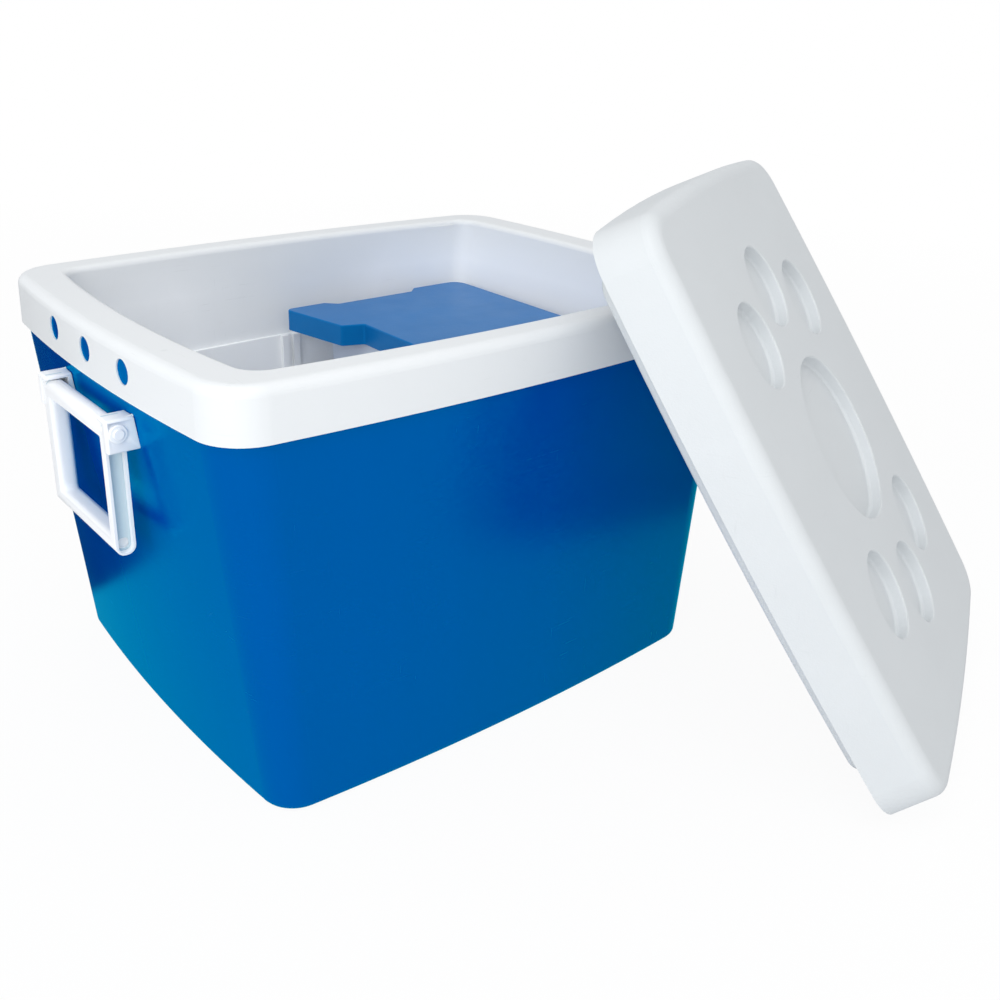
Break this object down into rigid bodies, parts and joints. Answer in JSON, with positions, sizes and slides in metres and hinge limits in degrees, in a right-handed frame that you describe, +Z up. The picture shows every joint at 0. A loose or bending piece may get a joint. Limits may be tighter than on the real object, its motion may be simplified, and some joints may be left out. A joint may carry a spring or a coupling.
{
  "type": "vaccine carrier",
  "caption": "Insulated vaccine carrier: tapered tub with white liner and collar, a swing handle at each end, a lidded box inside, and its lid taken off and leaning on a corner.",
  "frame": {"origin": "centre of the tub's flat base, on the floor", "axes": "+X along the tub's length towards the end the lid leans at, +Y across it away from the leaning lid, +Z up"},
  "size_m": [0.7561, 0.7015, 0.4412],
  "materials": {
    "shell_blue": "smooth moulded plastic",
    "liner_white": "smooth moulded plastic",
    "fitting_white": "smooth moulded plastic",
    "lid_white": "satin moulded plastic",
    "box_lid_blue": "smooth moulded plastic",
    "box_white": "milky moulded plastic",
    "foam": "fine closed-cell foam",
    "steel": "plated"
  },
  "bodies": {
    "carrier": {"outer_shell": "shell_blue", "inner_liner": "liner_white", "body_insulation": "foam", "left_near_bracket": "fitting_white", "left_near_pivot_pin": "fitting_white", "left_near_bracket_screws": "steel", "left_far_bracket": "fitting_white", "left_far_pivot_pin": "fitting_white", "left_far_bracket_screws": "steel", "right_near_bracket": "fitting_white", "right_near_pivot_pin": "fitting_white", "right_near_bracket_screws": "steel", "right_far_bracket": "fitting_white", "right_far_pivot_pin": "fitting_white", "right_far_bracket_screws": "steel"},
    "left_handle": {"left_handle": "fitting_white"},
    "right_handle": {"right_handle": "fitting_white"},
    "lid": {"lid_shell": "lid_white", "lid_inner_pan": "lid_white", "lid_insulation": "foam"},
    "inner_box": {"inner_box": "box_white"},
    "inner_box_lid": {"inner_box_lid": "box_lid_blue"}
  },
  "joints": [
    {"name": "left_handle_swing", "type": "hinge", "parent": "carrier", "child": "left_handle", "pos_m": [-0.27125, 0, 0.283], "axis": [0, 1, 0], "range_deg": [-5, 90]},
    {"name": "right_handle_swing", "type": "hinge", "parent": "carrier", "child": "right_handle", "pos_m": [0.27125, 0, 0.283], "axis": [0, -1, 0], "range_deg": [-5, 90]},
    {"name": "lid_lift", "type": "slide", "parent": "carrier", "child": "lid", "axis": [0, 0, 1], "range_m": [0, 0.45]},
    {"name": "inner_box_lift", "type": "slide", "parent": "carrier", "child": "inner_box", "axis": [-0.5, 0, 0.866], "range_m": [0, 0.36]},
    {"name": "inner_box_lid_lift", "type": "slide", "parent": "inner_box", "child": "inner_box_lid", "axis": [0, 0, 1], "range_m": [0, 0.09]}
  ]
}
